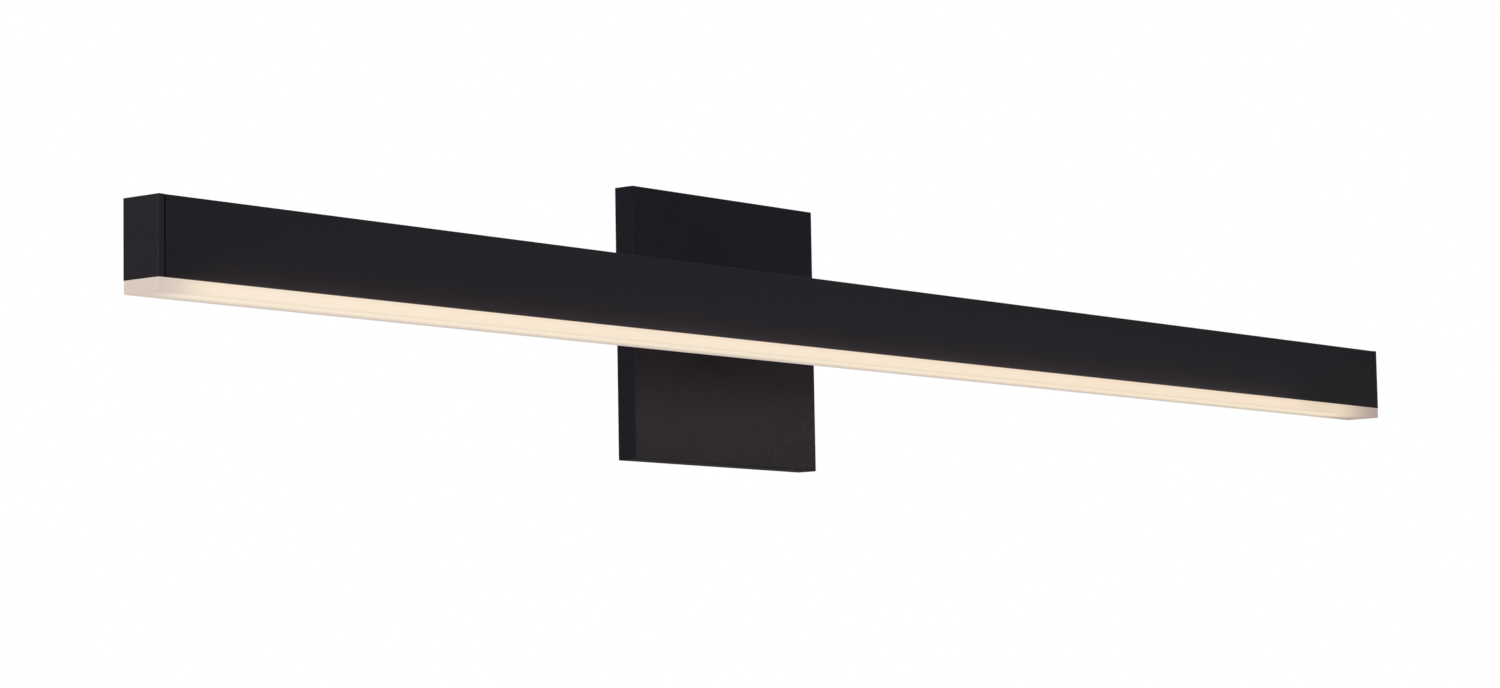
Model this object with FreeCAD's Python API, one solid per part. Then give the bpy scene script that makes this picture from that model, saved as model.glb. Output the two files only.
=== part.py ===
import FreeCAD
import Part
import math
import os

# Wall-mounted LED vanity light bar: a slim black bar held off a shallow wall canopy by a short arm.
# Millimetres. X runs along the bar, +Y points into the wall, +Z is up. The origin is on the wall plane,
# at the centre of the bracket's junction-box slots. The bar hangs out towards -Y, diffuser down.

Vector = FreeCAD.Vector

# Driving dimensions
bar_length = 914.4
bar_depth = 20.0
housing_height = 32.0
diffuser_height = 5.5
canopy_width = 137.0
canopy_height = 130.0
canopy_depth = 11.0
arm_length = 76.0
housing_top = 13.5
end_cap_thickness = 3.2

# Wall canopy and bracket
canopy_wall = 1.5
canopy_edge_radius = 0.5
bracket_thickness = 1.6
bracket_half_height = 11.0
bracket_gap = 0.3
ear_reach = 9.0
ear_half_height = 8.0
ear_bend_radius = 1.2
wire_entry_radius = 8.0
box_slot_spacing = 79.4
box_slot_length = 14.1
box_slot_radius = 2.3

# Lock screws, one through each side of the canopy
lock_screw_y = -4.8
lock_screw_radius = 2.0
lock_screw_reach = 6.4
lock_head_radius = 3.5
lock_head_height = 2.0
ear_thread_radius = 2.05
ear_collar_radius = 3.3
ear_collar_length = 1.2
washer_radius = 4.2
washer_thickness = 0.8
washer_bore = 2.15
side_slot_radius = 2.4
seat_gap = 0.05

# Arm between canopy and bar
arm_width = 50.0
arm_height = 20.0
arm_channel_width = 24.0
arm_channel_height = 14.0
arm_screw_x = 18.0
arm_screw_radius = 2.0
arm_screw_reach = 12.0
thread_gap = 0.03
clearance_radius = 2.25
pan_head_radius = 3.75
pan_head_height = 2.4
grommet_hole_radius = 5.0
grommet_bore = 3.5
grommet_flange_radius = 6.2
grommet_flange = 1.2

# Bar housing profile, measured from its centre plane and its bottom edge
side_wall = 1.6
top_wall = 1.8
snap_rib_low = 1.9
snap_rib_high = 2.9
snap_rib_depth = 0.8
snap_rib_slope = 0.3
groove_rib_depth = 1.5
groove_rib_height = 1.0
groove_low = 8.0
groove_height = 1.7
port_offset = 5.6
port_height = 27.4
port_radius = 2.6
port_bore = 1.4
peg_squeeze = 0.02
seam_chamfer = 0.3
end_cap_edge_radius = 0.35
end_cap_plug_depth = 2.0
end_cap_plug_low = 12.0
end_cap_peg_length = 9.0

# Diffuser
diffuser_floor = 2.0
diffuser_side = 1.9
diffuser_end_wall = 3.0
diffuser_edge_radius = 0.8
leg_outer = 8.3
leg_inner = 6.2
leg_height = 5.5
leg_end_gap = 0.7

# Light engine
tray_half_width = 8.2
tray_thickness = 1.5
tray_length = 906.0
tray_end_notch = 8.0
tape_thickness = 0.2
board_half_width = 6.0
board_thickness = 1.2
board_length = 445.0
board_gap = 1.0
led_pitch = 12.0
led_margin = 5.0
led_size = (2.8, 3.5, 0.7)
leds_per_screw = 11
board_screw_radius = 1.25
board_screw_head = 2.2
board_screw_reach = 4.2

# Driver, a stick that rides above the tray
driver_start = 230.0
driver_length = 190.0
driver_half_width = 7.0
driver_height = 11.0
driver_lift = 11.5
driver_wall = 1.0
lead_radius = 1.0
lead_spread = 1.4

# Wiring inside the canopy
ground_screw_radius = 2.0
ground_screw_x = 20.0
ground_flange_radius = 4.2
ground_flange = 0.8
ground_hexagon_radius = 3.4
ground_hexagon_height = 2.2
ground_slot_depth = 0.8
terminal_half_width = 13.0
terminal_top = -24.0
terminal_height = 13.0
terminal_depth = 6.2
terminal_pitch = 7.5
lead_y_in_canopy = -5.0
stud_x = 32.0
stud_z = -20.0
stud_radius = 2.0
stud_length = 5.5
nut_radius = 4.0
nut_height = 2.6
nut_lift = 0.9
tag_radius = 4.4
tag_bore = 2.1
tag_thickness = 0.8
tag_neck_half_width = 1.4
crimp_radius = 1.8
crimp_length = 5.0
crimp_start = 12.0
crimp_lift = 1.9

# Positions that follow from the sizes above
bar_back = -(canopy_depth + arm_length)
bar_middle = bar_back - bar_depth / 2
bar_front = bar_back - bar_depth
bar_half = bar_length / 2
housing_bottom = housing_top - housing_height
housing_half_length = bar_half - end_cap_thickness
canopy_face = -canopy_depth
canopy_inside = -(canopy_depth - canopy_wall)
tray_bottom = housing_bottom + groove_low + 0.1
tray_top = tray_bottom + tray_thickness
board_top = tray_bottom - tape_thickness
board_bottom = board_top - board_thickness
driver_bottom = housing_bottom + driver_lift
driver_middle = driver_bottom + driver_height / 2
driver_end = driver_start + driver_length
driver_board_z = driver_bottom + driver_wall + 0.8
terminal_front = canopy_inside + 0.05


def block(x0, x1, y0, y1, z0, z1):
    return Part.makeBox(x1 - x0, y1 - y0, z1 - z0, Vector(x0, y0, z0))


def rod(radius, start, along, length):
    return Part.makeCylinder(radius, length, Vector(*start), Vector(*along))


def ring(outer, inner, start, along, length):
    return rod(outer, start, along, length).cut(rod(inner, start, along, length))


def outline_solid(points, x0, x1):
    """A bar along X; its outline is given as (distance from the centre plane, height above its bottom)."""
    corners = [Vector(x0, bar_middle + u, housing_bottom + w) for u, w in points]
    face = Part.Face(Part.makePolygon(corners + corners[:1]))
    return face.extrude(Vector(x1 - x0, 0, 0))


def mirrored(half):
    """Closes a half outline that starts and ends on the centre plane."""
    return half + [(-u, w) for u, w in reversed(half) if u > 0]


def edges_where(shape, test):
    return [edge for edge in shape.Edges if test(edge.BoundBox)]


def save(name, *solids):
    shape = solids[0] if len(solids) == 1 else Part.makeCompound(list(solids))
    assert shape.isValid(), name
    shape.exportStep("parts/" + name + ".step")


def cross_recess(shape, centre, along, size, depth):
    """Cuts a cross drive into a screw head whose outer face is at centre, facing along."""
    axis = Vector(*along)
    side = Vector(1, 0, 0) if abs(axis.z) > 0.5 else Vector(0, 0, 1)
    other = axis.cross(side)
    for long_way, short_way in ((side, other), (other, side)):
        corner = Vector(*centre) - axis * depth - long_way * size - short_way * size * 0.25
        corners = [
            corner,
            corner + long_way * 2 * size,
            corner + long_way * 2 * size + short_way * size * 0.5,
            corner + short_way * size * 0.5,
        ]
        face = Part.Face(Part.makePolygon(corners + corners[:1]))
        shape = shape.cut(face.extrude(axis * (depth + 1)))
    return shape


def pan_screw(seat, along, radius, reach, head_radius, head_height):
    """A screw whose head sits on seat and stands out along the given way, its shank the other way."""
    axis = Vector(*along)
    head = Part.makeCylinder(head_radius, head_height, Vector(*seat), axis)
    outer = Vector(*seat) + axis * head_height
    rim = [e for e in head.Edges if e.Length < 7 * head_radius and (e.CenterOfMass - outer).Length < 1e-6]
    head = head.makeFillet(head_height * 0.35, rim)
    shank = Part.makeCylinder(radius, reach, Vector(*seat), axis * -1)
    screw = head.fuse(shank).removeSplitter()
    return cross_recess(screw, tuple(outer), along, head_radius * 0.55, head_height * 0.45)


def bend_radius(before, corner, after, limit):
    incoming = (corner - before).normalize()
    outgoing = (after - corner).normalize()
    turn = incoming.getAngle(outgoing)
    shorter = min((corner - before).Length, (after - corner).Length)
    return min(limit, 0.45 * shorter / math.tan(turn / 2)), turn


def lead(name, points, radius, limit):
    """A round wire along straight runs joined by tangent arcs, none larger than limit."""
    corners = [Vector(*p) for p in points]
    edges = []
    at = corners[0]
    radii = []
    for before, corner, after in zip(corners, corners[1:], corners[2:]):
        bend, turn = bend_radius(before, corner, after, limit)
        radii.append(round(bend, 1))
        setback = bend * math.tan(turn / 2)
        incoming = (corner - before).normalize()
        outgoing = (after - corner).normalize()
        start = corner - incoming * setback
        end = corner + outgoing * setback
        inward = (outgoing - incoming).normalize()
        middle = corner + inward * (bend / math.cos(turn / 2) - bend)
        edges.append(Part.LineSegment(at, start).toShape())
        edges.append(Part.Arc(start, middle, end).toShape())
        at = end
    edges.append(Part.LineSegment(at, corners[-1]).toShape())
    path = Part.Wire(edges)
    first = (corners[1] - corners[0]).normalize()
    circle = Part.Wire(Part.Circle(corners[0], first, radius).toShape())
    tube = path.makePipeShell([circle], True, True)
    expected = math.pi * radius**2 * path.Length
    print(name, "radii", radii, "length", round(path.Length, 1), "volume ratio", round(tube.Volume / expected, 4))
    return tube


def wall_bracket():
    half = canopy_width / 2 - canopy_wall - bracket_gap
    solid = block(-half, half, -bracket_thickness, 0, -bracket_half_height, bracket_half_height)
    for side in (-1, 1):
        outer = side * half
        inner = side * (half - bracket_thickness)
        low, high = sorted((outer, inner))
        ear = block(low, high, -ear_reach, 0, -ear_half_height, ear_half_height)
        collar = rod(ear_collar_radius, (inner, lock_screw_y, 0), (-side, 0, 0), ear_collar_length)
        solid = solid.fuse(ear).fuse(collar)
    solid = solid.removeSplitter()
    bends = edges_where(
        solid,
        lambda b: b.YMin > -0.01 and b.XLength < 0.01 and b.ZLength > 15 and abs(abs(b.XMin) - half) < 0.01,
    )
    solid = solid.makeFillet(ear_bend_radius, bends)
    for side in (-1, 1):
        start = (side * (half + 1), lock_screw_y, 0)
        solid = solid.cut(rod(ear_thread_radius, start, (-side, 0, 0), 8))
        centre = side * box_slot_spacing / 2
        reach = box_slot_length / 2 - box_slot_radius
        slot = block(centre - reach, centre + reach, -3, 1, -box_slot_radius, box_slot_radius)
        for end in (-reach, reach):
            slot = slot.fuse(rod(box_slot_radius, (centre + end, -3, 0), (0, 1, 0), 4))
        solid = solid.cut(slot.removeSplitter())
    solid = solid.cut(rod(wire_entry_radius, (0, -3, 0), (0, 1, 0), 4))
    return solid.cut(rod(ground_screw_radius + thread_gap, (ground_screw_x, -3, 0), (0, 1, 0), 4))


def hexagon_prism(centre, radius, height):
    """A hexagon across its corners, in the plane of the wall, drawn out along Y."""
    angles = [k * math.pi / 3 for k in range(7)]
    corners = [centre + Vector(radius * math.cos(a), 0, radius * math.sin(a)) for a in angles]
    return Part.Face(Part.makePolygon(corners)).extrude(Vector(0, height, 0))


def ground_screw():
    """Hexagon washer-head screw for the house earth wire, flush behind the bracket."""
    seat = Vector(ground_screw_x, -bracket_thickness, 0)
    flange = rod(ground_flange_radius, tuple(seat), (0, -1, 0), ground_flange)
    head = hexagon_prism(seat - Vector(0, ground_flange, 0), ground_hexagon_radius, -ground_hexagon_height)
    shank = rod(ground_screw_radius, tuple(seat), (0, 1, 0), bracket_thickness - 0.1)
    screw = flange.fuse(head).fuse(shank).removeSplitter()
    top = -bracket_thickness - ground_flange - ground_hexagon_height
    slot = block(ground_screw_x - 5, ground_screw_x + 5, top - 1, top + ground_slot_depth, -0.5, 0.5)
    return screw.cut(slot)


def lock_washer(side):
    face = side * (canopy_width / 2 + seat_gap)
    return ring(washer_radius, washer_bore, (face, lock_screw_y, 0), (side, 0, 0), washer_thickness)


def lock_screw(side):
    seat = side * (canopy_width / 2 + 2 * seat_gap + washer_thickness)
    return pan_screw(
        (seat, lock_screw_y, 0), (side, 0, 0), lock_screw_radius, lock_screw_reach, lock_head_radius, lock_head_height
    )


def canopy():
    w, h = canopy_width / 2, canopy_height / 2
    shell = block(-w, w, canopy_face, 0, -h, h)
    rim = edges_where(shell, lambda b: b.YMax < canopy_face + 0.01 or b.YLength > canopy_depth - 0.01)
    shell = shell.makeFillet(canopy_edge_radius, rim)
    shell = shell.cut(block(-w + canopy_wall, w - canopy_wall, canopy_inside, 1, -h + canopy_wall, h - canopy_wall))
    shell = shell.cut(rod(grommet_hole_radius, (0, canopy_face - 1, 0), (0, 1, 0), 4))
    for side in (-1, 1):
        shell = shell.cut(rod(clearance_radius, (side * arm_screw_x, canopy_face - 1, 0), (0, 1, 0), 4))
        low, high = sorted((side * (w - 3), side * (w + 1)))
        notch = block(low, high, lock_screw_y, 1, -side_slot_radius, side_slot_radius)
        notch = notch.fuse(rod(side_slot_radius, (low, lock_screw_y, 0), (1, 0, 0), 4))
        shell = shell.cut(notch)
    return shell


def arm():
    w, h = arm_width / 2, arm_height / 2
    body = block(-w, w, bar_back, canopy_face, -h, h)
    body = body.makeFillet(0.6, edges_where(body, lambda b: b.YLength > arm_length - 0.01))
    c, d = arm_channel_width / 2, arm_channel_height / 2
    body = body.cut(block(-c, c, bar_back - 1, canopy_face + 1, -d, d))
    for side in (-1, 1):
        start = (side * arm_screw_x, bar_back - 1, 0)
        body = body.cut(rod(arm_screw_radius + thread_gap, start, (0, 1, 0), arm_length + 2))
    return body


def arm_screws(seat_y, way):
    return [
        pan_screw(
            (side * arm_screw_x, seat_y, 0),
            (0, way, 0),
            arm_screw_radius,
            arm_screw_reach,
            pan_head_radius,
            pan_head_height,
        )
        for side in (-1, 1)
    ]


def grommet(wall_start, wall_thickness):
    """Rubber bush snapped into a wall that starts at wall_start and runs towards +Y."""
    low = wall_start - grommet_flange
    length = wall_thickness + 2 * grommet_flange
    body = rod(grommet_flange_radius, (0, low, 0), (0, 1, 0), length)
    body = body.makeFillet(0.5, [e for e in body.Edges if e.Length > 30 and e.BoundBox.YLength < 0.01])
    groove = ring(grommet_flange_radius + 1, grommet_hole_radius, (0, wall_start, 0), (0, 1, 0), wall_thickness)
    return body.cut(groove).cut(rod(grommet_bore, (0, low - 1, 0), (0, 1, 0), length + 2))


def housing():
    half_depth = bar_depth / 2
    wall = half_depth - side_wall
    groove_top = groove_low + groove_height
    rib = wall - groove_rib_depth
    half = [
        (0, housing_height),
        (half_depth, housing_height),
        (half_depth, 0),
        (wall, 0),
        (wall, snap_rib_low - snap_rib_slope),
        (wall - snap_rib_depth, snap_rib_low),
        (wall - snap_rib_depth, snap_rib_high),
        (wall, snap_rib_high + snap_rib_slope),
        (wall, groove_low - groove_rib_height),
        (rib, groove_low - groove_rib_height),
        (rib, groove_low),
        (wall, groove_low),
        (wall, groove_top),
        (rib, groove_top),
        (rib, groove_top + groove_rib_height),
        (wall, groove_top + groove_rib_height),
        (wall, housing_height - top_wall),
        (0, housing_height - top_wall),
    ]
    solid = outline_solid(mirrored(half), -housing_half_length, housing_half_length)
    for side in (-1, 1):
        centre = (-housing_half_length, bar_middle + side * port_offset, housing_bottom + port_height)
        port = rod(port_radius, centre, (1, 0, 0), 2 * housing_half_length)
        web_low, web_high = sorted((side * port_offset, side * (wall + 0.5)))
        web = outline_solid(
            [
                (web_low, port_height),
                (web_high, port_height),
                (web_high, housing_height - 1),
                (web_low, housing_height - 1),
            ],
            -housing_half_length,
            housing_half_length,
        )
        solid = solid.fuse(port).fuse(web)
    solid = solid.removeSplitter()
    for side in (-1, 1):
        centre = (-housing_half_length, bar_middle + side * port_offset, housing_bottom + port_height)
        solid = solid.cut(rod(port_bore, centre, (1, 0, 0), 2 * housing_half_length))
    ends = edges_where(
        solid,
        lambda b: b.XLength < 0.01
        and (
            b.YMax < bar_front + 0.01
            or b.YMin > bar_back - 0.01
            or b.ZMin > housing_top - 0.01
        ),
    )
    solid = solid.makeChamfer(seam_chamfer, ends)
    back = bar_back - side_wall - 1
    solid = solid.cut(rod(grommet_hole_radius, (0, back, 0), (0, 1, 0), 4))
    for side in (-1, 1):
        solid = solid.cut(rod(clearance_radius, (side * arm_screw_x, back, 0), (0, 1, 0), 4))
    return solid


def end_cap(side):
    """A flat plate with a shallow plug inside the bar and two pegs pressed into the housing's ports."""
    inner = side * housing_half_length
    low, high = sorted((inner, side * bar_half))
    cap = block(low, high, bar_front, bar_back, housing_bottom, housing_top)
    seam = edges_where(
        cap,
        lambda b: b.XLength < 0.01 and abs(b.XMin - inner) < 0.01 and b.ZMin > housing_bottom - 0.5
        and (b.ZLength > 5 or b.ZMin > housing_top - 0.01),
    )
    cap = cap.makeChamfer(seam_chamfer, seam)
    outer = edges_where(cap, lambda b: b.XLength < 0.01 and abs(b.XMin - side * bar_half) < 0.01 and
                        (b.ZLength > 5 or b.ZMin > housing_top - 0.01))
    cap = cap.makeFillet(end_cap_edge_radius, outer)
    plug_low, plug_high = sorted((inner, inner - side * end_cap_plug_depth))
    reach = bar_depth / 2 - side_wall - 0.3
    plug = block(plug_low, plug_high, bar_middle - reach, bar_middle + reach,
                 housing_bottom + end_cap_plug_low, housing_bottom + port_height - port_radius - 0.3)
    peg_height = housing_bottom + port_height
    pegs = [
        rod(port_bore + peg_squeeze, (inner, bar_middle + s * port_offset, peg_height), (-side, 0, 0),
            end_cap_peg_length)
        for s in (-1, 1)
    ]
    cap = cap.fuse(plug)
    for peg in pegs:
        cap = cap.fuse(peg)
    return cap.removeSplitter()


def diffuser():
    """Frosted channel: a full-length block below the bar, with two snap legs inside the housing."""
    half_depth = bar_depth / 2
    low = housing_bottom - diffuser_height
    top = housing_bottom - seat_gap
    body = block(-bar_half, bar_half, bar_front, bar_back, low, top)
    body = body.makeFillet(
        diffuser_edge_radius,
        edges_where(body, lambda b: b.ZMax < low + 0.01 or b.ZLength > diffuser_height - 0.1),
    )
    inside = half_depth - diffuser_side
    hollow_half = bar_half - diffuser_end_wall
    hollow = block(
        -hollow_half, hollow_half, bar_middle - inside, bar_middle + inside, low + diffuser_floor, top + 1
    )
    body = body.cut(hollow)
    legs_half = housing_half_length - leg_end_gap
    notch = leg_outer - snap_rib_depth - 0.05
    leg = [
        (leg_inner, leg_height),
        (leg_outer - 0.6, leg_height),
        (leg_outer, leg_height - 0.6),
        (leg_outer, snap_rib_high + snap_rib_slope + 0.1),
        (notch, snap_rib_high + 0.1),
        (notch, snap_rib_low - 0.1),
        (leg_outer, snap_rib_low - snap_rib_slope - 0.1),
        (leg_outer, -1.5),
        (leg_inner, -1.5),
    ]
    for side in (-1, 1):
        body = body.fuse(outline_solid([(side * u, w) for u, w in leg], -legs_half, legs_half))
    return body.removeSplitter()


def led_positions(side):
    """Centres of one board's LEDs, counted from its inner end."""
    start = board_gap / 2 + led_margin + 1.5
    count = int((board_length - 2 * led_margin) // led_pitch) + 1
    return [side * (start + k * led_pitch) for k in range(count)]


def board_screw_positions(side):
    """Screws sit half-way between two LEDs."""
    places = led_positions(side)
    picks = range(1, len(places) - 1, leds_per_screw)
    return [(places[k] + places[k + 1]) / 2 for k in picks]


def led_tray():
    half = tray_length / 2
    tray = block(-half, half, bar_middle - tray_half_width, bar_middle + tray_half_width, tray_bottom, tray_top)
    notch_wide = 4.0
    tray = tray.cut(
        block(half - tray_end_notch, half + 1, bar_middle - notch_wide, bar_middle + notch_wide, tray_bottom - 1,
              tray_top + 1)
    )
    for side in (-1, 1):
        for x in board_screw_positions(side):
            start = (x, bar_middle, tray_bottom - 1)
            tray = tray.cut(rod(board_screw_radius + thread_gap, start, (0, 0, 1), tray_thickness + 2))
    return tray


def board_span(side):
    return sorted((side * board_gap / 2, side * (board_gap / 2 + board_length)))


def board_layer(side, z0, z1):
    x0, x1 = board_span(side)
    layer = block(x0, x1, bar_middle - board_half_width, bar_middle + board_half_width, z0, z1)
    for x in board_screw_positions(side):
        layer = layer.cut(rod(board_screw_radius + 0.15, (x, bar_middle, z0 - 1), (0, 0, 1), z1 - z0 + 2))
    return layer


def leds(side):
    length, width, height = led_size
    chips = []
    for x in led_positions(side):
        chip = block(x - length / 2, x + length / 2, bar_middle - width / 2, bar_middle + width / 2,
                     board_bottom - height, board_bottom)
        lens = rod(length * 0.42, (x, bar_middle, board_bottom - height - 0.1), (0, 0, 1), 0.25)
        chips.append(chip.fuse(lens).removeSplitter())
    return chips


def board_screws():
    return [
        pan_screw((x, bar_middle, board_bottom), (0, 0, -1), board_screw_radius, board_screw_reach,
                  board_screw_head, 1.3)
        for side in (-1, 1)
        for x in board_screw_positions(side)
    ]


def board_link():
    """Low board-to-board connector that bridges the two LED boards at the middle."""
    body = block(-4.5, 4.5, bar_middle - 3.5, bar_middle + 3.5, board_bottom - 2.0, board_bottom)
    for u in (-1.8, 1.8):
        y = bar_middle + u
        body = body.cut(block(-5, 5, y - 0.6, y + 0.6, board_bottom - 2.5, board_bottom - 1.5))
    return body


def lead_connector():
    """Two-way wire socket at the right-hand end of the right board."""
    x1 = board_gap / 2 + board_length
    return block(x1 - 4.0, x1 + 1.0, bar_middle - 3.0, bar_middle + 3.0, board_bottom - 2.2, board_bottom)


def driver_case():
    """Open-topped plastic tub with a wire slot at each end."""
    y0, y1 = bar_middle - driver_half_width, bar_middle + driver_half_width
    z0, z1 = driver_bottom, driver_bottom + driver_height - driver_wall
    tub = block(driver_start, driver_end, y0, y1, z0, z1)
    tub = tub.cut(
        block(driver_start + driver_wall, driver_end - driver_wall, y0 + driver_wall, y1 - driver_wall,
              z0 + driver_wall, z1 + 1)
    )
    for x in (driver_start, driver_end):
        for u in (-lead_spread, lead_spread):
            tub = tub.cut(rod(lead_radius + 0.1, (x - 3, bar_middle + u, driver_middle), (1, 0, 0), 6))
    return tub


def driver_lid():
    z0 = driver_bottom + driver_height - driver_wall
    y0, y1 = bar_middle - driver_half_width, bar_middle + driver_half_width
    lid = block(driver_start, driver_end, y0, y1, z0, z0 + driver_wall)
    lip = driver_wall + 0.15
    return lid.fuse(
        block(driver_start + lip, driver_end - lip, y0 + lip, y1 - lip, z0 - 0.8, z0)
    ).removeSplitter()


def driver_board():
    inset = driver_wall + 0.4
    return block(driver_start + inset, driver_end - inset, bar_middle - driver_half_width + inset,
                 bar_middle + driver_half_width - inset, driver_board_z, driver_board_z + 1.2)


def driver_parts():
    """Fuse, filter choke, capacitors, transformer and output choke, standing on the driver board."""
    z = driver_board_z + 1.2
    y = bar_middle
    choke = ring(3.0, 1.4, (driver_start + 34, y, z), (0, 0, 1), 4.2)
    capacitors = [rod(2.6, (driver_start + x, y, z + 2.6), (1, 0, 0), 14) for x in (48, 70)]
    core = block(driver_start + 94, driver_start + 112, y - 5, y + 5, z, z + 5.4)
    window = block(driver_start + 98, driver_start + 108, y - 6, y + 6, z + 1.6, z + 3.8)
    winding = block(driver_start + 98.2, driver_start + 107.8, y - 5.3, y + 5.3, z + 1.7, z + 3.7)
    diodes = [block(driver_start + x, driver_start + x + 5, y - 2, y + 2, z, z + 2.2) for x in (120, 130)]
    output_choke = rod(3.8, (driver_start + 150, y, z), (0, 0, 1), 5.0)
    fuse = rod(1.6, (driver_start + 14, y, z + 1.6), (1, 0, 0), 8)
    return [fuse, choke, *capacitors, core.cut(window), winding, *diodes, output_choke]


def driver_pads():
    return [
        block(driver_start + x, driver_start + x + 24, bar_middle - 5, bar_middle + 5, tray_top, driver_bottom)
        for x in (20, 146)
    ]


def supply_terminal():
    """Three-way push-in terminal stuck inside the canopy, its fixture wires in at the top."""
    y0 = terminal_front
    body = block(-terminal_half_width, terminal_half_width, y0, y0 + terminal_depth,
                 terminal_top - terminal_height, terminal_top)
    body = body.makeFillet(0.5, edges_where(body, lambda b: b.ZLength > terminal_height - 0.01))
    for k in (-1, 0, 1):
        x = k * terminal_pitch
        body = body.cut(rod(lead_radius + 0.1, (x, lead_y_in_canopy, terminal_top - 6), (0, 0, 1), 8))
        body = body.cut(rod(1.5, (x, lead_y_in_canopy, terminal_top - terminal_height - 1), (0, 0, 1), 6))
        body = body.cut(block(x - 1.5, x + 1.5, y0 + terminal_depth - 0.8, y0 + terminal_depth + 1,
                              terminal_top - 9, terminal_top - 4))
    return body


def earth_stud():
    """Threaded stud welded inside the canopy for the fixture's own earth wire."""
    return rod(stud_radius, (stud_x, canopy_inside, stud_z), (0, 1, 0), stud_length)


def earth_nut():
    y = canopy_inside + nut_lift
    nut = hexagon_prism(Vector(stud_x, y, stud_z), nut_radius, nut_height)
    return nut.cut(rod(stud_radius + thread_gap, (stud_x, y - 1, stud_z), (0, 1, 0), nut_height + 2))


def earth_ring():
    """Ring terminal under the nut, with a crimped barrel that takes the green wire."""
    y = canopy_inside
    tag = ring(tag_radius, tag_bore, (stud_x, y, stud_z), (0, 1, 0), tag_thickness)
    neck = block(stud_x - 9.0, stud_x - 4.0, y, y + tag_thickness, stud_z - tag_neck_half_width,
                 stud_z + tag_neck_half_width)
    start = stud_x - crimp_start
    barrel = rod(crimp_radius, (start, y + crimp_lift, stud_z), (1, 0, 0), crimp_length)
    bore = rod(lead_radius + 0.02, (start - 1, y + crimp_lift, stud_z), (1, 0, 0), crimp_length - 1)
    barrel = barrel.cut(bore)
    return tag.fuse(neck).fuse(barrel).removeSplitter()


def mains_lead(name, spread, slot_x):
    """From the driver, along the bar, out through the arm and down to one way of the supply terminal."""
    z = driver_middle
    y = bar_middle + spread
    points = [
        (driver_start + 1, y, z),
        (driver_start - 18, y, z),
        (driver_start - 60, y + 0.6, z + 1.5),
        (driver_start - 105, y - 0.5, z + 0.3),
        (driver_start - 150, y + 0.4, z + 1.8),
        (driver_start - 190, y, 0),
        (spread, y, 0),
        (spread, canopy_face - 36, 0),
        (spread * 1.3, canopy_face - 8, 0),
        (spread, canopy_inside - 1, 0),
        (spread, lead_y_in_canopy, 0),
        (spread, lead_y_in_canopy, -7.0),
        (slot_x, lead_y_in_canopy, terminal_top + 5.5),
        (slot_x, lead_y_in_canopy, terminal_top - 5.5),
    ]
    return lead(name, points, lead_radius, 6.0)


def earth_lead():
    y = canopy_inside + crimp_lift
    points = [
        (terminal_pitch, lead_y_in_canopy, terminal_top - 5.5),
        (terminal_pitch, lead_y_in_canopy, terminal_top + 3.5),
        (terminal_pitch + 5.0, (lead_y_in_canopy + y) / 2, stud_z + 2.5),
        (stud_x - 16.0, y, stud_z),
        (stud_x - 9.3, y, stud_z),
    ]
    return lead("earth_lead", points, lead_radius, 6.0)


def output_lead(name, spread):
    """From the driver round the end of the tray to the socket on the right-hand LED board."""
    z = driver_middle
    y = bar_middle + spread
    turn_x = housing_half_length - 5.2
    low = board_bottom - 1.1
    socket_x = board_gap / 2 + board_length + 1.0
    points = [
        (driver_end - 1, y, z),
        (driver_end + 14, y, z),
        (turn_x, y, z - 1.5),
        (turn_x, y, low),
        (socket_x, y, low),
    ]
    return lead(name, points, 0.8, 3.0)


def main():
    os.makedirs("parts", exist_ok=True)
    save("wall_bracket", wall_bracket())
    save("ground_screw", ground_screw())
    for name, side in (("left", -1), ("right", 1)):
        save("lock_screw_" + name, lock_screw(side))
        save("lock_washer_" + name, lock_washer(side))
        save("end_cap_" + name, end_cap(side))
        save("led_board_" + name, board_layer(side, board_bottom, board_top))
        save("thermal_tape_" + name, board_layer(side, board_top, tray_bottom))
        save("leds_" + name, *leds(side))
    save("canopy", canopy())
    save("arm", arm())
    save("arm_screws_canopy", *arm_screws(canopy_inside, 1))
    save("arm_screws_bar", *arm_screws(bar_back - side_wall, -1))
    save("canopy_grommet", grommet(canopy_face, canopy_wall))
    save("bar_grommet", grommet(bar_back - side_wall, side_wall))
    save("housing", housing())
    save("diffuser", diffuser())
    save("led_tray", led_tray())
    save("board_screws", *board_screws())
    save("board_link", board_link())
    save("lead_connector", lead_connector())
    save("driver_case", driver_case())
    save("driver_lid", driver_lid())
    save("driver_board", driver_board())
    save("driver_parts", *driver_parts())
    save("driver_pads", *driver_pads())
    save("supply_terminal", supply_terminal())
    save("earth_stud", earth_stud())
    save("earth_nut", earth_nut())
    save("earth_ring", earth_ring())
    save("line_lead", mains_lead("line_lead", lead_spread, 0))
    save("neutral_lead", mains_lead("neutral_lead", -lead_spread, -terminal_pitch))
    save("earth_lead", earth_lead())
    save("positive_lead", output_lead("positive_lead", lead_spread))
    save("negative_lead", output_lead("negative_lead", -lead_spread))


main()
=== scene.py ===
import math

import bpy
from mathutils import Matrix, Vector


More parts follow.
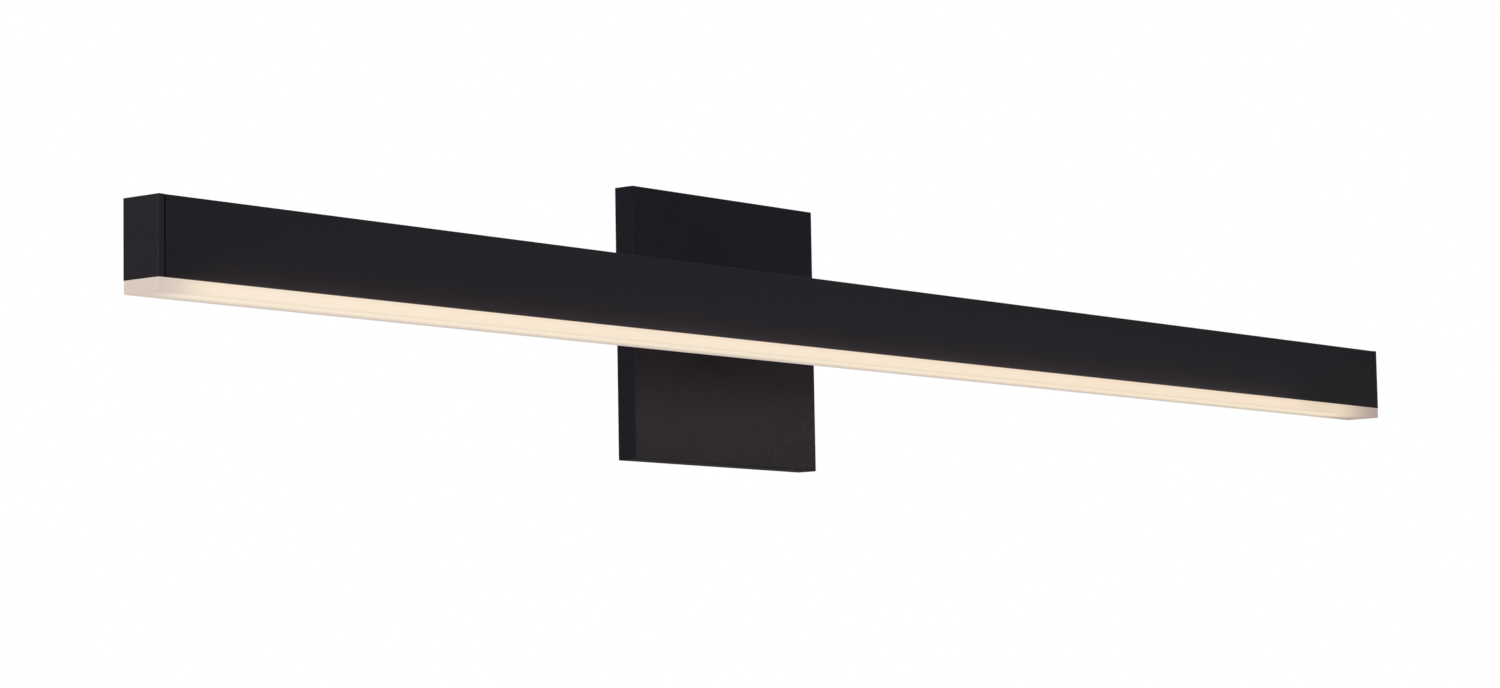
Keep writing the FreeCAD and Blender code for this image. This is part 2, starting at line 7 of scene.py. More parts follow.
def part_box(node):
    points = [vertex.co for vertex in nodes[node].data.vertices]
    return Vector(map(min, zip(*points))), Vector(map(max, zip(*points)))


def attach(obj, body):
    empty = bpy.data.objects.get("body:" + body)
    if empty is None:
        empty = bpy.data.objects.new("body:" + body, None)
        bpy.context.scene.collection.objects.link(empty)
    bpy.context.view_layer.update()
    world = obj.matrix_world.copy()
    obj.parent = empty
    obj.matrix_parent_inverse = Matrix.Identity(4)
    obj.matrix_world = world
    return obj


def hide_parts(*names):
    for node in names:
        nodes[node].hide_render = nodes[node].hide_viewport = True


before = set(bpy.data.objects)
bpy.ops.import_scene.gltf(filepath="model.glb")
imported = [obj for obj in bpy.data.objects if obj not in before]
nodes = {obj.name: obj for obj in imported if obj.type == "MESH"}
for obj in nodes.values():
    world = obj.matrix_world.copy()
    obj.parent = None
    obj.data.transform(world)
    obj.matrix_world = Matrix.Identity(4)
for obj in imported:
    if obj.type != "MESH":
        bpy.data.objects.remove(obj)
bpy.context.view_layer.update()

scene = bpy.context.scene
scene.view_settings.view_transform = "Standard"
print("frame loaded:", len(nodes), "nodes")


class Wire:
    # one output socket, so that shader maths reads as ordinary sums
    def __init__(self, recipe, socket):
        self.recipe = recipe
        self.socket = socket

    def maths(self, operation, first, second):
        return self.recipe.node("ShaderNodeMath", {"operation": operation}, {0: first, 1: second})

    def __add__(self, other):
        return self.maths("ADD", self, other)

    def __radd__(self, other):
        return self.maths("ADD", other, self)

    def __sub__(self, other):
        return self.maths("SUBTRACT", self, other)

    def __rsub__(self, other):
        return self.maths("SUBTRACT", other, self)

    def __mul__(self, other):
        return self.maths("MULTIPLY", self, other)

    def __rmul__(self, other):
        return self.maths("MULTIPLY", other, self)


class Recipe:
    # the node tree of a material, or of the world when that is given
    def __init__(self, name, world=None):
        self.owner = world or bpy.data.materials.new(name)
        self.owner.use_nodes = True
        self.tree = self.owner.node_tree
        self.tree.nodes.clear()

    def node(self, kind, settings=None, values=None, out=0):
        made = self.tree.nodes.new(kind)
        for key, value in (settings or {}).items():
            setattr(made, key, value)
        for key, value in (values or {}).items():
            if isinstance(value, Wire):
                self.tree.links.new(value.socket, made.inputs[key])
            else:
                made.inputs[key].default_value = value
        return None if out is None else Wire(self, made.outputs[out])

    def place(self):
        return self.node("ShaderNodeTexCoord", out="Object")

    def noise(self, size, detail=3.0, roughness=0.5, stretch=(1, 1, 1)):
        # size is the width of one blotch in metres
        where = self.node("ShaderNodeMapping", {}, {"Vector": self.place(), "Scale": stretch})
        return self.node("ShaderNodeTexNoise", {}, {"Vector": where, "Scale": 1.0 / size,
                                                    "Detail": detail, "Roughness": roughness})

    def blend(self, factor, first, second):
        return self.node("ShaderNodeMix", {"data_type": "RGBA"}, {0: factor, 6: first, 7: second}, out=2)

    def ramp(self, factor, low, high, smooth=True):
        kind = "SMOOTHSTEP" if smooth else "LINEAR"
        return self.node("ShaderNodeMapRange", {"interpolation_type": kind},
                         {"Value": factor, "From Min": low, "From Max": high})

    def bump(self, height, depth):
        return self.node("ShaderNodeBump", {}, {"Height": height, "Distance": depth})

    def axis(self, letter):
        return self.node("ShaderNodeSeparateXYZ", {}, {0: self.place()}, out=letter)

    def finish(self, **sockets):
        # names are the shader's sockets with the spaces left out
        shader = self.tree.nodes.new("ShaderNodeBsdfPrincipled")
        byName = {socket.name.replace(" ", ""): socket for socket in shader.inputs}
        for key, value in sockets.items():
            if isinstance(value, Wire):
                self.tree.links.new(value.socket, byName[key])
            else:
                byName[key].default_value = value
        return self.output("ShaderNodeOutputMaterial", Wire(self, shader.outputs[0]))

    def output(self, kind, surface):
        self.node(kind, {}, {0: surface}, out=None)
        return self.owner


def rgb(red, green, blue):
    return (red, green, blue, 1.0)


def toned(colour, by):
    return (colour[0] * by, colour[1] * by, colour[2] * by, 1.0)


coating = {
    "filmWidth": 0.05,      # wide, weak unevenness of the satin film
    "peelWidth": 0.0010,    # fine orange peel
    "peelDepth": 0.00009,
    "dustWidth": 0.004,
    "dustFrom": (0.66, 0.74),
    "dustColour": rgb(0.06, 0.058, 0.056),
    "toneRange": (0.62, 1.42),
}


def powderCoat(name, colour, gloss):
    r = Recipe(name)
    film = r.noise(coating["filmWidth"], detail=2.0)
    peel = r.noise(coating["peelWidth"], detail=2.0, roughness=0.55)
    dust = r.noise(coating["dustWidth"], detail=6.0, roughness=0.65)
    speck = r.ramp(dust, *coating["dustFrom"])
    darkest, lightest = (toned(colour, by) for by in coating["toneRange"])
    tone = r.blend(film * 0.5 + peel * 0.5, darkest, lightest)
    tone = r.blend(speck * 0.10, tone, coating["dustColour"])
    rough = gloss + (film - 0.5) * 0.10 + speck * 0.06 + (peel - 0.5) * 0.08
    return r.finish(BaseColor=tone, Roughness=rough, Metallic=0.0, SpecularIORLevel=0.5,
                    Normal=r.bump(peel, coating["peelDepth"]))


def opalAcrylic(look):
    # glows warm along its length, fading to unlit acrylic past the last diode at each end
    r = Recipe("opalAcrylic")
    x, y, z = r.axis("X"), r.axis("Y"), r.axis("Z")
    half, front, back = look["half"], look["frontY"], look["backY"]
    low, top = look["lowZ"], look["topZ"]
    body = r.blend(r.ramp(x, -half, half, smooth=False), look["glowLeft"], look["glowRight"])
    lip = r.ramp(z, top - look["lipLow"], top - look["lipHigh"])
    body = r.blend(lip * look["lipShade"], body, look["endRight"])
    underside = 1 - r.ramp(z, *(low + up for up in look["undersideTo"]))
    rising = r.ramp(y, *(front + inward for inward in look["lineRises"]))
    falling = r.ramp(y, *(front + inward for inward in look["lineFalls"]))
    body = r.blend(underside * (rising * (1 - falling)) * look["lineShare"], body, look["glowLine"])
    body = r.blend(underside * r.ramp(y, front + look["backFrom"], back), body, look["glowBack"])
    atLeft = 1 - r.ramp(x, -half, look["fadeLeft"] - half)
    atRight = r.ramp(x, half - look["fadeRight"], half - look["darkRight"])
    glow = r.blend(atRight, r.blend(atLeft, body, look["endLeft"]), look["endRight"])
    grain = r.noise(look["grainWidth"], detail=2.0)
    cloud = r.noise(look["cloudWidth"], detail=2.0)
    glow = r.blend(cloud * look["cloudShare"], glow, look["glowLine"])
    shell = r.blend(cloud, toned(look["shell"], 0.95), toned(look["shell"], 1.05))
    return r.finish(BaseColor=shell, Roughness=0.5 + (grain - 0.5) * 0.12, EmissionColor=glow,
                    EmissionStrength=look["strength"], Normal=r.bump(grain, look["grainDepth"]),
                    SpecularIORLevel=0.3)


def blackOxide(name):
    r = Recipe(name)
    bloom = r.noise(size=0.003, detail=4.0)
    tool = r.noise(size=0.0005, detail=2.0)
    tone = r.blend(bloom, rgb(0.012, 0.012, 0.013), rgb(0.03, 0.029, 0.03))
    return r.finish(BaseColor=tone, Metallic=0.85, Roughness=0.34 + bloom * 0.18,
                    Normal=r.bump(tool, depth=0.000008))


def zincPlate(name, tint=(0.62, 0.62, 0.60)):
    # spangled plating with faint rolling marks along the strip
    r = Recipe(name)
    # each spangle is about 4 mm across
    spangle = r.node("ShaderNodeTexVoronoi", {}, {"Vector": r.place(), "Scale": 260.0}, out="Color")
    patch = r.node("ShaderNodeSeparateColor", {}, {0: spangle})
    rolling = r.noise(size=0.0012, detail=3.0, roughness=0.6, stretch=(0.08, 1, 1))
    tone = r.blend(patch * 0.6, toned(tint, 0.78), toned(tint, 1.12))
    tone = r.blend(r.ramp(r.noise(size=0.01, detail=5.0), 0.58, 0.72) * 0.4, tone, rgb(0.42, 0.41, 0.38))
    return r.finish(BaseColor=tone, Metallic=0.9, Roughness=0.30 + patch * 0.12 + rolling * 0.08,
                    Normal=r.bump(rolling, depth=0.00001))


def millAluminium(name):
    r = Recipe(name)
    drawn = r.noise(size=0.0006, detail=3.0, roughness=0.6, stretch=(0.02, 1, 1))
    tone = r.blend(drawn, rgb(0.60, 0.60, 0.61), rgb(0.80, 0.80, 0.81))
    return r.finish(BaseColor=tone, Metallic=0.95, Roughness=0.26 + drawn * 0.16,
                    Normal=r.bump(drawn, depth=0.000006))


def circuitBoard(name, mask, track):
    # solder mask over long copper runs that just show through
    r = Recipe(name)
    runs = r.node("ShaderNodeTexWave", {"bands_direction": "Y"},
                  {"Vector": r.place(), "Scale": 90.0, "Distortion": 0.6, "Detail": 1.0})
    weave = r.noise(size=0.0005, detail=2.0)
    shown = r.ramp(runs, 0.55, 0.62)
    tone = r.blend(shown * 0.6, r.blend(weave, toned(mask, 0.94), toned(mask, 1.04)), track)
    return r.finish(BaseColor=tone, Roughness=0.38 + weave * 0.12, Normal=r.bump(shown, depth=0.00002))


def plainPlastic(name, colour, rough=0.42):
    r = Recipe(name)
    cloud = r.noise(size=0.012, detail=3.0)
    skin = r.noise(size=0.0008, detail=2.0)
    tone = r.blend(cloud, toned(colour, 0.86), toned(colour, 1.1))
    return r.finish(BaseColor=tone, Roughness=rough + (cloud - 0.5) * 0.1, Normal=r.bump(skin, depth=0.00001))


def softRubber(name, colour=(0.03, 0.03, 0.031)):
    r = Recipe(name)
    bloom = r.noise(size=0.004, detail=5.0)
    tone = r.blend(r.ramp(bloom, 0.5, 0.8), toned(colour, 0.9), toned(colour, 1.8))
    skin = r.noise(size=0.0005)
    return r.finish(BaseColor=tone, Roughness=0.68 + bloom * 0.15, Normal=r.bump(skin, depth=0.00001))


def phosphor(name):
    r = Recipe(name)
    grain = r.noise(size=0.0002, detail=2.0)
    tone = r.blend(grain, rgb(0.80, 0.60, 0.16), rgb(0.95, 0.78, 0.30))
    return r.finish(BaseColor=tone, Roughness=0.35 + grain * 0.1, EmissionColor=tone, EmissionStrength=2.0,
                    Normal=r.bump(grain, depth=0.00001))


class GeoTree:
    # a geometry node tree with named inputs; build() hands each value over by its input's identifier
    def __init__(self, name):
        self.tree = bpy.data.node_groups.new(name, "GeometryNodeTree")
        self.tree.interface.new_socket("Geometry", in_out="INPUT", socket_type="NodeSocketGeometry")
        self.tree.interface.new_socket("Geometry", in_out="OUTPUT", socket_type="NodeSocketGeometry")
        self.start = self.tree.nodes.new("NodeGroupInput")
        self.end = self.tree.nodes.new("NodeGroupOutput")
        self.sockets = {}

    def size(self, name, kind="Float"):
        made = self.tree.interface.new_socket(name, in_out="INPUT", socket_type="NodeSocket" + kind)
        self.sockets[name] = made.identifier
        return self.start.outputs[name]

    def sizes(self, *names):
        return [self.size(name) for name in names]

    def node(self, kind, settings=None, values=None, out=0):
        made = self.tree.nodes.new(kind)
        for key, value in (settings or {}).items():
            setattr(made, key, value)
        for key, value in (values or {}).items():
            for one in value if isinstance(value, list) else [value]:
                if isinstance(one, bpy.types.NodeSocket):
                    self.tree.links.new(one, made.inputs[key])
                else:
                    made.inputs[key].default_value = one
        return made.outputs[out]

    def maths(self, operation, first, second, third=None):
        values = {0: first, 1: second}
        if third is not None:
            values[2] = third
        return self.node("ShaderNodeMath", {"operation": operation}, values)

    def point(self, x, y, z):
        return self.node("ShaderNodeCombineXYZ", {}, {"X": x, "Y": y, "Z": z})

    def move(self, geometry, where, turn=(0, 0, 0)):
        return self.node("GeometryNodeTransform", {}, {"Geometry": geometry, "Translation": where,
                                                       "Rotation": turn})

    def shift(self, size, by):
        return self.node("ShaderNodeVectorMath", {"operation": "MULTIPLY"}, {0: size, 1: by})

    def tube(self, radius, length, middle, turn):
        made = self.node("GeometryNodeMeshCylinder", {}, {"Vertices": 32, "Radius": radius, "Depth": length})
        return self.move(made, middle, turn)

    def close(self, geometry, material):
        solid = self.node("GeometryNodeRealizeInstances", {}, {0: geometry})
        dressed = self.node("GeometryNodeSetMaterial", {}, {"Geometry": solid, "Material": material})
        self.tree.links.new(dressed, self.end.inputs[0])
        return dressed

    def build(self, name, base, values):
        # runs the tree on base and returns the result as a plain mesh object
        maker = bpy.data.objects.new(name + "Maker", base)
        scene.collection.objects.link(maker)
        modifier = maker.modifiers.new("grow", "NODES")
        modifier.node_group = self.tree
        for key, value in values.items():
            modifier[self.sockets[key]] = value
        depsgraph = bpy.context.evaluated_depsgraph_get()
        mesh = bpy.data.meshes.new_from_object(maker.evaluated_get(depsgraph), depsgraph=depsgraph)
        maker.modifiers.remove(modifier)
        bpy.data.objects.remove(maker)
        mesh.name = name
        piece = bpy.data.objects.new(name, mesh)
        scene.collection.objects.link(piece)
        return piece


alongX = (0, math.pi / 2, 0)    # turns that lay a tube along an axis
alongY = (math.pi / 2, 0, 0)


housing = {
    "color": (0.0225, 0.0203, 0.0310),
    "gloss": 0.38,
    "sharpAbove": 32,       # degrees between faces that still look like one curve
    "edgeRound": 0.00045,   # radius along the long outside edges
    "wall": 0.0016,
    "topWall": 0.0018,
    "endGap": 0.0004,       # shadow line against each end cap
    # inside of a side wall from its bottom edge up, as (in from the wall, height): snap rib, then tray groove
    "ribs": [(0, 0), (0, 0.0016), (0.0008, 0.0019), (0.0008, 0.0029), (0, 0.0032),
             (0, 0.0070), (0.0015, 0.0070), (0.0015, 0.0080), (0, 0.0080),
             (0, 0.0097), (0.0015, 0.0097), (0.0015, 0.0107), (0, 0.0107)],
    "portOffset": 0.0056,   # the two round ports that take the end caps' pegs
    "portHeight": 0.0274,
    "portRadius": 0.0026,
    "portBore": 0.0014,
    "screwSpread": 0.018,   # holes in the wall that faces the arm
    "screwHole": 0.00225,
    "leadHole": 0.005,
    "holeDepth": 0.004,     # the cutters reach past both sides of the wall
    "boreOverrun": 0.01,
}


def channelOutline(half, tall):
    # closed outline of the channel seen from its end, open side down, as (across, up)
    inner = half - housing["wall"]
    right = [(0, tall), (half, tall), (half, 0)]
    right += [(inner - inward, up) for inward, up in housing["ribs"]]
    right += [(inner, tall - housing["topWall"]), (0, tall - housing["topWall"])]
    outline = right + [(-across, up) for across, up in reversed(right) if across > 0]
    curve = bpy.data.curves.new("channelOutline", "CURVE")
    curve.dimensions = "3D"
    spline = curve.splines.new("POLY")
    spline.points.add(len(outline) - 1)
    for point, (across, up) in zip(spline.points, outline):
        point.co = (across, -up, 0, 1)
    spline.use_cyclic_u = True
    return curve


def channelTree():
    g = GeoTree("channelExtrusion")
    fromX, toX, middleY, bottomZ = g.sizes("From X", "To X", "Middle Y", "Bottom Z")
    edgeRound, outside = g.sizes("Edge Round", "Rounded Beyond")
    portOffset, portHeight, portRadius, portBore = g.sizes("Port Offset", "Port Height", "Port Radius",
                                                           "Port Bore")
    webWidth, webHeight, wallY, holeZ = g.sizes("Web Width", "Web Height", "Wall Y", "Hole Z")
    screwSpread, screwHole, leadHole = g.sizes("Screw Spread", "Screw Hole", "Lead Hole")
    holeDepth, overrun = g.sizes("Hole Depth", "Bore Overrun")

    # only the outside corners of the outline are rounded
    across = g.node("ShaderNodeSeparateXYZ", {}, {0: g.node("GeometryNodeInputPosition")})
    isOutside = g.maths("GREATER_THAN", g.maths("ABSOLUTE", across, 0.0), outside)
    rounded = g.node("GeometryNodeFilletCurve", {"mode": "POLY"},
                     {"Curve": g.start.outputs["Geometry"], "Count": 4, "Limit Radius": True,
                      "Radius": g.maths("MULTIPLY", edgeRound, isOutside)})
    line = g.node("GeometryNodeCurvePrimitiveLine", {}, {"Start": g.point(fromX, middleY, bottomZ),
                                                         "End": g.point(toX, middleY, bottomZ)})
    shell = g.node("GeometryNodeCurveToMesh", {}, {"Curve": line, "Profile Curve": rounded,
                                                   "Fill Caps": True})

    # a port and its web on each side of the middle, and a screw hole on each side of the lead hole
    solids = [shell]
    cuts = [g.tube(leadHole, holeDepth, g.point(0.0, wallY, holeZ), alongY)]
    middleX = g.maths("MULTIPLY", g.maths("ADD", fromX, toX), 0.5)
    length = g.maths("SUBTRACT", toX, fromX)
    portZ = g.maths("ADD", bottomZ, portHeight)
    for side in (-1, 1):
        portY = g.maths("MULTIPLY_ADD", portOffset, side, middleY)
        port = g.point(middleX, portY, portZ)
        solids.append(g.tube(portRadius, length, port, alongX))
        web = g.node("GeometryNodeMeshCube", {}, {"Size": g.point(length, webWidth, webHeight)})
        webY = g.maths("MULTIPLY_ADD", webWidth, side * 0.5, portY)
        webZ = g.maths("MULTIPLY_ADD", webHeight, 0.5, portZ)
        solids.append(g.move(web, g.point(middleX, webY, webZ)))
        cuts.append(g.tube(portBore, g.maths("ADD", length, overrun), port, alongX))
        screw = g.point(g.maths("MULTIPLY", screwSpread, side), wallY, holeZ)
        cuts.append(g.tube(screwHole, holeDepth, screw, alongY))
    whole = g.node("GeometryNodeMeshBoolean", {"operation": "UNION", "solver": "EXACT"}, {"Mesh 2": solids})
    bored = g.node("GeometryNodeMeshBoolean", {"operation": "DIFFERENCE", "solver": "EXACT"},
                   {"Mesh 1": whole, "Mesh 2": cuts})
    g.close(bored, powderCoat("channelBlack", housing["color"], housing["gloss"]))
    return g


def makeHousing():
    low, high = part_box("housing")
    armLow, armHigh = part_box("arm")
    half = (high.y - low.y) / 2
    tall = high.z - low.z
    gap, wall, topWall = housing["endGap"], housing["wall"], housing["topWall"]
    piece = channelTree().build("channelShell", channelOutline(half, tall), {
        "From X": low.x + gap, "To X": high.x - gap, "Middle Y": (low.y + high.y) / 2, "Bottom Z": low.z,
        "Edge Round": housing["edgeRound"], "Rounded Beyond": half - wall / 2,
        "Port Offset": housing["portOffset"], "Port Height": housing["portHeight"],
        "Port Radius": housing["portRadius"], "Port Bore": housing["portBore"],
        "Web Width": half - wall / 2 - housing["portOffset"],
        "Web Height": tall - topWall / 2 - housing["portHeight"],
        "Wall Y": high.y - wall / 2, "Hole Z": (armLow.z + armHigh.z) / 2,
        "Screw Spread": housing["screwSpread"], "Screw Hole": housing["screwHole"],
        "Lead Hole": housing["leadHole"], "Hole Depth": housing["holeDepth"],
        "Bore Overrun": housing["boreOverrun"]})
    piece.data.shade_smooth()
    piece.data.set_sharp_from_angle(angle=math.radians(housing["sharpAbove"]))
    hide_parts("housing")
    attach(piece, "lamp")
    print("housing channel", len(piece.data.polygons), "faces")


diodes = {
    "pitch": 0.012,
    "package": (0.0028, 0.0035, 0.0007),
    "lens": 0.00118,
    "lensHeight": 0.00012,
    "lensDrop": 1.02,       # middle of the lens, in package heights below the board
    "plastic": (0.82, 0.81, 0.78),
}


def makeDiodes(side, node):
    low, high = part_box(node)
    first = low.x + diodes["package"][0] / 2
    count = round((high.x - low.x - diodes["package"][0]) / diodes["pitch"]) + 1
    g = GeoTree("diodeRow" + side)
    howMany = g.size("Count", "Int")
    pitch, firstX, lineY, topZ, lensRadius, lensHeight = g.sizes("Pitch", "First X", "Line Y", "Top Z",
                                                                 "Lens Radius", "Lens Height")
    package = g.size("Package", "Vector")
    row = g.node("GeometryNodeMeshLine", {"mode": "OFFSET"},
                 {"Count": howMany, "Start Location": g.point(firstX, lineY, topZ),
                  "Offset": g.point(pitch, 0.0, 0.0)})
    block = g.node("GeometryNodeMeshCube", {}, {"Size": package})
    block = g.move(block, g.shift(package, (0, 0, -0.5)))
    lens = g.node("GeometryNodeMeshCylinder", {}, {"Vertices": 12, "Radius": lensRadius, "Depth": lensHeight})
    lens = g.move(lens, g.shift(package, (0, 0, -diodes["lensDrop"])))
    lens = g.node("GeometryNodeStoreNamedAttribute", {"data_type": "BOOLEAN", "domain": "FACE"},
                  {"Geometry": lens, "Name": "isLens", "Value": True})
    both = g.node("GeometryNodeJoinGeometry", {}, {0: [lens, block]})
    placed = g.node("GeometryNodeInstanceOnPoints", {}, {"Points": row, "Instance": both})
    dressed = g.close(placed, plainPlastic("diodePackage" + side, diodes["plastic"]))
    isLens = g.node("GeometryNodeInputNamedAttribute", {"data_type": "BOOLEAN"}, {"Name": "isLens"})
    final = g.node("GeometryNodeSetMaterial", {}, {"Geometry": dressed, "Selection": isLens,
                                                   "Material": phosphor("diodeGlow" + side)})
    g.tree.links.new(final, g.end.inputs[0])
    piece = g.build("diodes" + side, bpy.data.meshes.new("diodeSeed" + side), {
        "Count": count, "Pitch": diodes["pitch"], "First X": first, "Line Y": (low.y + high.y) / 2,
        "Top Z": high.z, "Lens Radius": diodes["lens"], "Lens Height": diodes["lensHeight"],
        "Package": diodes["package"]})
    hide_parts(node)
    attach(piece, "lamp")
    print("diode row", side, len(piece.data.polygons), "faces")


diffuser = {
    "half": 0.4572,         # half of the bar's length
    "fadeLeft": 0.025,      # how far in from the left end the glow reaches full strength
    "fadeRight": 0.047,
    "darkRight": 0.002,     # the last of the right end is as dark as it gets
    "strength": 1.0,
    "lipShade": 0.10,       # slight shade just under the black edge
    "lipLow": 0.0018,
    "lipHigh": 0.0008,
    "undersideTo": (0.0003, 0.0009),
    # the bright line along the underside, in from the front
    "lineRises": (0.001, 0.006),
    "lineFalls": (0.008, 0.011),
    "lineShare": 0.7,
    "backFrom": 0.009,
    "grainWidth": 0.0006,
    "grainDepth": 0.000006,
    "cloudWidth": 0.03,
    "cloudShare": 0.08,
    "shell": (0.26, 0.25, 0.24),
    "glowLeft": rgb(0.80, 0.69, 0.545),
    "glowRight": rgb(0.765, 0.635, 0.47),
    "glowLine": rgb(0.92, 0.80, 0.63),
    "glowBack": rgb(0.52, 0.455, 0.415),
    "endLeft": rgb(0.59, 0.50, 0.435),
    "endRight": rgb(0.36, 0.28, 0.26),
}

coats = {
    # node: (colour, how rough the film is)
    # the canopy's colour is set darker than the channel's coat, partly painted shade standing in for the
    # shadow on its sides
    "canopy": ((0.0160, 0.0155, 0.0300), 0.55),
    "arm": ((0.0115, 0.0108, 0.0180), 0.45),
    # the end caps' colour is painted lighter than the channel's coat: a lit copy of the same black, standing
    # in for the light that falls on their end faces
    "end_cap_left": ((0.0365, 0.0320, 0.0400), 0.38),
    "end_cap_right": ((0.0365, 0.0320, 0.0400), 0.38),
}


def dress(material, *names):
    for name in names:
        piece = nodes[name]
        piece.data.materials.clear()
        piece.data.materials.append(material)


def dressParts():
    low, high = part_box("diffuser")
    look = dict(diffuser, frontY=low.y, backY=high.y, lowZ=low.z, topZ=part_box("housing")[0].z)
    dress(opalAcrylic(look), "diffuser")
    for name, (colour, gloss) in coats.items():
        dress(powderCoat(name + "Coat", colour, gloss), name)
    dress(blackOxide("blackOxide"), "lock_screw_left", "lock_screw_right", "lock_washer_left",
          "lock_washer_right")
    dress(zincPlate("zincPlate"), "wall_bracket", "arm_screws_canopy", "arm_screws_bar", "board_screws",
          "earth_stud", "earth_nut")
    dress(zincPlate("greenZinc", (0.05, 0.34, 0.13)), "ground_screw")
    dress(zincPlate("tinnedBrass", (0.72, 0.66, 0.5)), "earth_ring")
    dress(softRubber("grommetRubber"), "canopy_grommet", "bar_grommet")
    dress(softRubber("greyTape", (0.30, 0.31, 0.33)), "thermal_tape_left", "thermal_tape_right",
          "driver_pads")
    dress(millAluminium("millAluminium"), "led_tray")
    dress(circuitBoard("whiteBoard", (0.82, 0.82, 0.80), rgb(0.70, 0.69, 0.66)), "led_board_left",
          "led_board_right")
    dress(circuitBoard("greenBoard", (0.03, 0.20, 0.08), rgb(0.07, 0.30, 0.13)), "driver_board")
    dress(plainPlastic("nylon", (0.80, 0.79, 0.74), 0.32), "board_link", "lead_connector", "supply_terminal")
    dress(plainPlastic("driverShell", (0.76, 0.76, 0.74), 0.46), "driver_case", "driver_lid")
    dress(plainPlastic("componentSleeve", (0.05, 0.05, 0.08), 0.3), "driver_parts")
    wires = {
        "line_lead": (0.02, 0.02, 0.021),
        "negative_lead": (0.02, 0.02, 0.021),
        "neutral_lead": (0.78, 0.78, 0.76),
        "earth_lead": (0.03, 0.28, 0.08),
        "positive_lead": (0.46, 0.02, 0.02),
    }
    for name, colour in wires.items():
        dress(plainPlastic(name + "Jacket", colour, 0.36), name)
    print("CAD pieces dressed")


camera = {
    "lens": 94.40,
    "sensor": 36.0,
    "clip": (0.05, 50),
    "place": (-1.46980, -1.21537, -0.19904),
    "yaw": -51.0075,
    "pitch": 5.7974,
    "roll": -1.0047,
}


def aimCamera():
    yaw, pitch, roll = (math.radians(camera[key]) for key in ("yaw", "pitch", "roll"))
    ahead = Vector((-math.sin(yaw) * math.cos(pitch), math.cos(yaw) * math.cos(pitch), math.sin(pitch)))
    right = Vector((math.cos(yaw), math.sin(yaw), 0))
    up = right.cross(ahead)
    right, up = right * math.cos(roll) + up * math.sin(roll), up * math.cos(roll) - right * math.sin(roll)
    lens = bpy.data.cameras.new("viewer")
    lens.lens = camera["lens"]
    lens.sensor_width = camera["sensor"]
    lens.clip_start, lens.clip_end = camera["clip"]
    eye = bpy.data.objects.new("viewer", lens)
    turn = Matrix((right, up, -ahead)).transposed().to_4x4()
    eye.matrix_world = Matrix.Translation(Vector(camera["place"])) @ turn
    scene.collection.objects.link(eye)
    scene.camera = eye


lights = {
    # name: (place, aimed at, width, height, watts, colour)
    "keyPanel": ((-1.6, -1.4, 1.5), (0, -0.1, 0), 1.6, 1.0, 5.2, (1.0, 0.98, 1.0)),
    "sidePanel": ((-1.2, 0.05, 0.1), (-0.4, -0.1, 0), 0.5, 0.7, 1.10, (1.0, 0.97, 1.0)),
    "fillPanel": ((1.4, -1.6, 0.8), (0, -0.1, 0), 1.6, 1.6, 1.55, (0.95, 0.93, 1.0)),
    "edgePanel": ((-1.55, -1.35, 0.0), (-0.457, -0.107, 0), 0.3, 0.3, 1.2, (1.0, 1.0, 1.0)),
    # these three only reach the top, the back and the right end
    "topPanel": ((0.3, 0.9, 2.2), (0, -0.05, 0), 2.2, 1.0, 14.0, (1.0, 0.96, 0.88)),
    "rearPanel": ((0.6, 2.4, 0.5), (0, 0, 0), 1.8, 1.4, 16.0, (1.0, 0.96, 0.86)),
    "rightPanel": ((2.4, 0.5, 0.6), (0, -0.05, 0), 1.0, 1.4, 9.0, (1.0, 0.96, 0.88)),
}

glow = {
    "warm": (1.0, 0.74, 0.62),
    "centreX": -0.030,      # the strips stop short of the right end, where the diffuser fades
    "length": 0.81,
    "downWatts": 0.15,
    "backWatts": 0.040,
    "frontWatts": 0.023,
    "clear": 0.0006,        # how far off the diffuser the strips stand
    "downInset": 0.001,
    "backHeight": 0.0027,   # heights are above the diffuser's underside
    "backWidth": 0.005,
    "hazeAway": 0.010,
    "hazeHeight": 0.001,
    "hazeAimHeight": 0.012,
    "hazeWidth": 0.004,
}


def panel(name, place, target, width, height, watts, colour):
    data = bpy.data.lights.new(name, "AREA")
    data.shape = "RECTANGLE"
    data.size, data.size_y = width, height
    data.energy = watts
    data.color = colour
    light = bpy.data.objects.new(name, data)
    light.location = place
    light.rotation_mode = "QUATERNION"
    light.rotation_quaternion = (Vector(target) - Vector(place)).to_track_quat("-Z", "Y")
    light.visible_camera = False
    scene.collection.objects.link(light)
    return light


def setLights():
    for name, values in lights.items():
        panel(name, *values)
    low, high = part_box("diffuser")
    middle = (low.y + high.y) / 2
    centreX, length, warm, clear = (glow[key] for key in ("centreX", "length", "warm", "clear"))
    # the light that the lamp itself throws, just outside the diffuser's underside and its wall side
    down = panel("lampDown", (centreX, middle, low.z - clear), (0, middle, -1), length,
                 high.y - low.y - glow["downInset"], glow["downWatts"], warm)
    down.rotation_quaternion = (1, 0, 0, 0)
    back = panel("lampBack", (centreX, high.y + clear, low.z + glow["backHeight"]), (0, 1, low.z), length,
                 glow["backWidth"], glow["backWatts"], warm)
    back.rotation_quaternion = Vector((0, 1, 0)).to_track_quat("-Z", "Z")
    # what the air and the wall in front send back up onto the lower edge of the channel
    panel("lampHaze", (centreX, low.y - glow["hazeAway"], low.z + glow["hazeHeight"]),
          (centreX, low.y, low.z + glow["hazeAimHeight"]), length, glow["hazeWidth"],
          glow["frontWatts"], warm)


room = {
    "above": 0.09,
    "below": 0.50,
    "tint": rgb(0.97, 0.96, 1.0),
    "horizon": (-0.10, 0.02),   # between these slopes the light goes from below to above
}


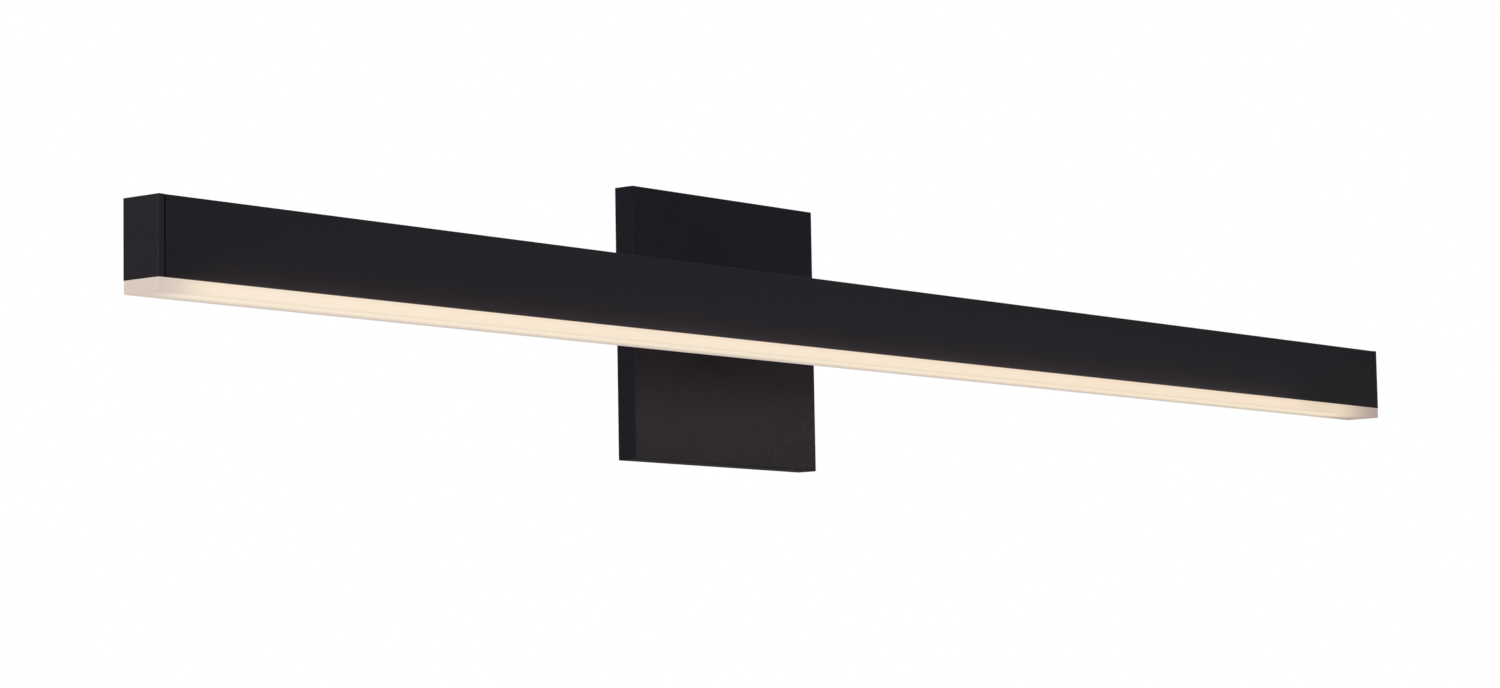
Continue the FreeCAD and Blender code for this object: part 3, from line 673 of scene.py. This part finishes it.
def setWorld():
    # the backdrop is white to the eye, while what falls on the lamp is a softer grey
    scene.world = bpy.data.worlds.new("studio")
    r = Recipe("studio", scene.world)
    slope = r.node("ShaderNodeSeparateXYZ", {}, {0: r.node("ShaderNodeTexCoord", out="Generated")}, out="Z")
    start, end = room["horizon"]
    strength = r.node("ShaderNodeMapRange", {}, {"Value": slope, "From Min": start, "From Max": end,
                                                 "To Min": room["below"], "To Max": room["above"]})
    cast = r.node("ShaderNodeBackground", {}, {"Color": room["tint"], "Strength": strength})
    seen = r.node("ShaderNodeBackground", {}, {"Color": rgb(1, 1, 1)})
    toEye = r.node("ShaderNodeLightPath", out="Is Camera Ray")
    r.output("ShaderNodeOutputWorld", r.node("ShaderNodeMixShader", {}, {0: toEye, 1: cast, 2: seen}))


floor = {
    "side": 6.0,
    "drop": -0.75,
    "seen": 0.86,           # how pale it looks
    "bounce": 0.45,         # how much light it sends back up
    "cloudWidth": 0.4,
}


def layFloor():
    # a pale floor that can be looked through from underneath
    side, drop = floor["side"], floor["drop"]
    mesh = bpy.data.meshes.new("studioFloor")
    corners = [(-side, -side, drop), (side, -side, drop), (side, side, drop), (-side, side, drop)]
    mesh.from_pydata(corners, [], [(0, 1, 2, 3)])
    sheet = bpy.data.objects.new("studioFloor", mesh)
    scene.collection.objects.link(sheet)
    r = Recipe("studioPaper")
    cloud = r.noise(floor["cloudWidth"], detail=2.0)
    grey = rgb(*[floor["bounce"]] * 3)
    pale = rgb(*[floor["seen"]] * 3)
    bounce = r.node("ShaderNodeBsdfDiffuse", {}, {"Color": grey})
    paper = r.node("ShaderNodeEmission", {}, {"Color": r.blend(cloud, toned(pale, 0.97), toned(pale, 1.03))})
    seen = r.node("ShaderNodeLightPath", out="Is Camera Ray")
    top = r.node("ShaderNodeMixShader", {}, {0: seen, 1: bounce, 2: paper})
    under = r.node("ShaderNodeNewGeometry", out="Backfacing")
    clear = r.node("ShaderNodeBsdfTransparent")
    both = r.node("ShaderNodeMixShader", {}, {0: under, 1: top, 2: clear})
    mesh.materials.append(r.output("ShaderNodeOutputMaterial", both))


makeHousing()
makeDiodes("Left", "leds_left")
makeDiodes("Right", "leds_right")
dressParts()
aimCamera()
setLights()
setWorld()
layFloor()
print("camera, lights and floor set")
